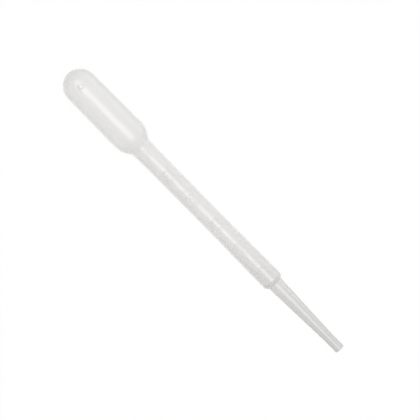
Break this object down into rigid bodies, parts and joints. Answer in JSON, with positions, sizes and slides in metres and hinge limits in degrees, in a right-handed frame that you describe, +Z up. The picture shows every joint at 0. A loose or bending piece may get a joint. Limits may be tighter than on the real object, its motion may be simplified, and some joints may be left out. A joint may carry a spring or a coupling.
{
  "type": "plastic dropper pipette",
  "caption": "Squeeze-bulb dropper pipette in milky soft plastic, with a graduated stem and a long tapered tip.",
  "frame": {"origin": "middle of the base of the box round the pipette as it lies on a table", "axes": "+X along the pipette from the bulb to the tip, +Z up with the graduations on top, +Y across; at rest on the bulb and the stem's foot, the pipette's own axis dips 1.97 degrees from +X towards the tip"},
  "size_m": [0.15, 0.0142, 0.0149],
  "materials": {
    "natural_ldpe": "natural low-density polyethylene, milky and translucent, satin"
  },
  "bodies": {
    "root": {"pipette": "natural_ldpe"}
  },
  "joints": []
}
